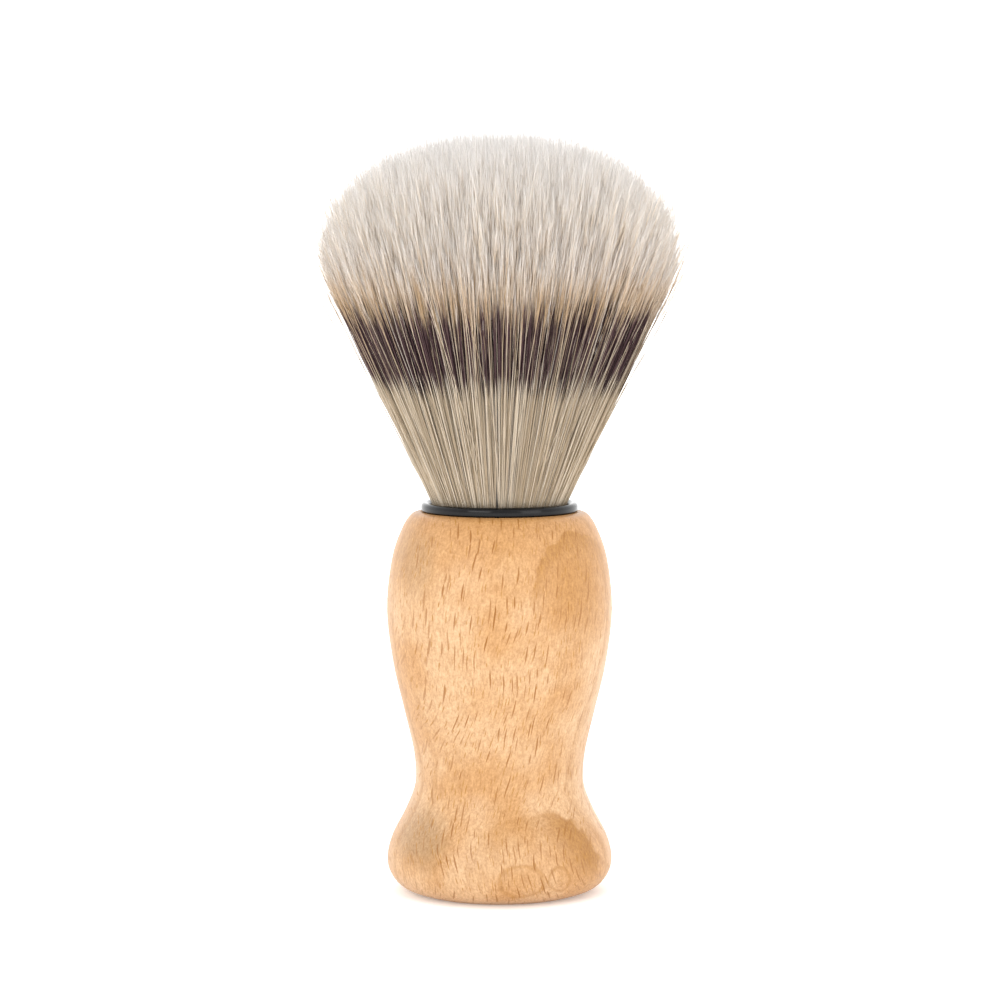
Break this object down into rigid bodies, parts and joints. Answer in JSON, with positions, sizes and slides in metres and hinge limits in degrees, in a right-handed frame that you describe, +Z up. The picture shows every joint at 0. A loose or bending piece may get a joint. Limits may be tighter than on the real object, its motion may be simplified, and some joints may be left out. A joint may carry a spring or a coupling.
{
  "type": "shaving brush",
  "caption": "Shaving brush standing on its foot: waisted turned beech handle, black ferrule ring and a flared, domed knot of pale bristles with a dark band.",
  "frame": {"origin": "centre of the handle's foot, on the surface that the brush stands on", "axes": "+Z up along the brush's axis to the tips; the side shown in the picture faces -Y"},
  "size_m": [0.052, 0.052, 0.112],
  "materials": {
    "beech": "satin varnish",
    "black_plastic": "polished",
    "glue": "cured adhesive",
    "resin": "cast resin",
    "thread": "twisted thread",
    "bristle": "soft bristles"
  },
  "bodies": {
    "handle": {"handle": "beech", "ferrule": "black_plastic", "socket_glue": "glue", "resin_plug": "resin", "binding_thread": "thread", "bristle_root": "bristle"},
    "neck": {"bristle_neck": "bristle"},
    "knot": {"bristle_body": "bristle", "tuft_centre": "bristle"},
    "outer_01": {"tuft_outer_01": "bristle"},
    "outer_02": {"tuft_outer_02": "bristle"},
    "outer_03": {"tuft_outer_03": "bristle"},
    "outer_04": {"tuft_outer_04": "bristle"},
    "outer_05": {"tuft_outer_05": "bristle"},
    "outer_06": {"tuft_outer_06": "bristle"},
    "outer_07": {"tuft_outer_07": "bristle"},
    "outer_08": {"tuft_outer_08": "bristle"},
    "outer_09": {"tuft_outer_09": "bristle"},
    "outer_10": {"tuft_outer_10": "bristle"},
    "outer_11": {"tuft_outer_11": "bristle"},
    "outer_12": {"tuft_outer_12": "bristle"},
    "inner_01": {"tuft_inner_01": "bristle"},
    "inner_02": {"tuft_inner_02": "bristle"},
    "inner_03": {"tuft_inner_03": "bristle"},
    "inner_04": {"tuft_inner_04": "bristle"},
    "inner_05": {"tuft_inner_05": "bristle"},
    "inner_06": {"tuft_inner_06": "bristle"}
  },
  "joints": [
    {"name": "bend_front_back", "type": "hinge", "parent": "handle", "child": "neck", "pos_m": [0, 0, 0.0579], "axis": [1, 0, 0], "range_deg": [-30, 30], "stiffness_Nm_per_rad": 0.2},
    {"name": "bend_side", "type": "hinge", "parent": "neck", "child": "knot", "pos_m": [0, 0, 0.0579], "axis": [0, 1, 0], "range_deg": [-30, 30], "stiffness_Nm_per_rad": 0.2},
    {"name": "splay_outer_01", "type": "hinge", "parent": "knot", "child": "outer_01", "pos_m": [0.02142, 0, 0.0822], "axis": [0, 1, 0], "range_deg": [0, 20], "stiffness_Nm_per_rad": 0.01},
    {"name": "splay_outer_02", "type": "hinge", "parent": "knot", "child": "outer_02", "pos_m": [0.01855, 0.01071, 0.0822], "axis": [-0.5, 0.866, 0], "range_deg": [0, 20], "stiffness_Nm_per_rad": 0.01},
    {"name": "splay_outer_03", "type": "hinge", "parent": "knot", "child": "outer_03", "pos_m": [0.01071, 0.01855, 0.0822], "axis": [-0.866, 0.5, 0], "range_deg": [0, 20], "stiffness_Nm_per_rad": 0.01},
    {"name": "splay_outer_04", "type": "hinge", "parent": "knot", "child": "outer_04", "pos_m": [0, 0.02142, 0.0822], "axis": [-1, 0, 0], "range_deg": [0, 20], "stiffness_Nm_per_rad": 0.01},
    {"name": "splay_outer_05", "type": "hinge", "parent": "knot", "child": "outer_05", "pos_m": [-0.01071, 0.01855, 0.0822], "axis": [-0.866, -0.5, 0], "range_deg": [0, 20], "stiffness_Nm_per_rad": 0.01},
    {"name": "splay_outer_06", "type": "hinge", "parent": "knot", "child": "outer_06", "pos_m": [-0.01855, 0.01071, 0.0822], "axis": [-0.5, -0.866, 0], "range_deg": [0, 20], "stiffness_Nm_per_rad": 0.01},
    {"name": "splay_outer_07", "type": "hinge", "parent": "knot", "child": "outer_07", "pos_m": [-0.02142, 0, 0.0822], "axis": [0, -1, 0], "range_deg": [0, 20], "stiffness_Nm_per_rad": 0.01},
    {"name": "splay_outer_08", "type": "hinge", "parent": "knot", "child": "outer_08", "pos_m": [-0.01855, -0.01071, 0.0822], "axis": [0.5, -0.866, 0], "range_deg": [0, 20], "stiffness_Nm_per_rad": 0.01},
    {"name": "splay_outer_09", "type": "hinge", "parent": "knot", "child": "outer_09", "pos_m": [-0.01071, -0.01855, 0.0822], "axis": [0.866, -0.5, 0], "range_deg": [0, 20], "stiffness_Nm_per_rad": 0.01},
    {"name": "splay_outer_10", "type": "hinge", "parent": "knot", "child": "outer_10", "pos_m": [0, -0.02142, 0.0822], "axis": [1, 0, 0], "range_deg": [0, 20], "stiffness_Nm_per_rad": 0.01},
    {"name": "splay_outer_11", "type": "hinge", "parent": "knot", "child": "outer_11", "pos_m": [0.01071, -0.01855, 0.0822], "axis": [0.866, 0.5, 0], "range_deg": [0, 20], "stiffness_Nm_per_rad": 0.01},
    {"name": "splay_outer_12", "type": "hinge", "parent": "knot", "child": "outer_12", "pos_m": [0.01855, -0.01071, 0.0822], "axis": [0.5, 0.866, 0], "range_deg": [0, 20], "stiffness_Nm_per_rad": 0.01},
    {"name": "splay_inner_01", "type": "hinge", "parent": "knot", "child": "inner_01", "pos_m": [0.01294, 0, 0.0822], "axis": [0, 1, 0], "range_deg": [0, 9], "stiffness_Nm_per_rad": 0.01},
    {"name": "splay_inner_02", "type": "hinge", "parent": "knot", "child": "inner_02", "pos_m": [0.00647, 0.01121, 0.0822], "axis": [-0.866, 0.5, 0], "range_deg": [0, 9], "stiffness_Nm_per_rad": 0.01},
    {"name": "splay_inner_03", "type": "hinge", "parent": "knot", "child": "inner_03", "pos_m": [-0.00647, 0.01121, 0.0822], "axis": [-0.866, -0.5, 0], "range_deg": [0, 9], "stiffness_Nm_per_rad": 0.01},
    {"name": "splay_inner_04", "type": "hinge", "parent": "knot", "child": "inner_04", "pos_m": [-0.01294, 0, 0.0822], "axis": [0, -1, 0], "range_deg": [0, 9], "stiffness_Nm_per_rad": 0.01},
    {"name": "splay_inner_05", "type": "hinge", "parent": "knot", "child": "inner_05", "pos_m": [-0.00647, -0.01121, 0.0822], "axis": [0.866, -0.5, 0], "range_deg": [0, 9], "stiffness_Nm_per_rad": 0.01},
    {"name": "splay_inner_06", "type": "hinge", "parent": "knot", "child": "inner_06", "pos_m": [0.00647, -0.01121, 0.0822], "axis": [0.866, 0.5, 0], "range_deg": [0, 9], "stiffness_Nm_per_rad": 0.01}
  ],
  "couplings": [
    {"joint": "splay_outer_02", "follows": "splay_outer_01", "ratio": 1},
    {"joint": "splay_outer_03", "follows": "splay_outer_01", "ratio": 1},
    {"joint": "splay_outer_04", "follows": "splay_outer_01", "ratio": 1},
    {"joint": "splay_outer_05", "follows": "splay_outer_01", "ratio": 1},
    {"joint": "splay_outer_06", "follows": "splay_outer_01", "ratio": 1},
    {"joint": "splay_outer_07", "follows": "splay_outer_01", "ratio": 1},
    {"joint": "splay_outer_08", "follows": "splay_outer_01", "ratio": 1},
    {"joint": "splay_outer_09", "follows": "splay_outer_01", "ratio": 1},
    {"joint": "splay_outer_10", "follows": "splay_outer_01", "ratio": 1},
    {"joint": "splay_outer_11", "follows": "splay_outer_01", "ratio": 1},
    {"joint": "splay_outer_12", "follows": "splay_outer_01", "ratio": 1},
    {"joint": "splay_inner_01", "follows": "splay_outer_01", "ratio": 0.45},
    {"joint": "splay_inner_02", "follows": "splay_outer_01", "ratio": 0.45},
    {"joint": "splay_inner_03", "follows": "splay_outer_01", "ratio": 0.45},
    {"joint": "splay_inner_04", "follows": "splay_outer_01", "ratio": 0.45},
    {"joint": "splay_inner_05", "follows": "splay_outer_01", "ratio": 0.45},
    {"joint": "splay_inner_06", "follows": "splay_outer_01", "ratio": 0.45}
  ]
}
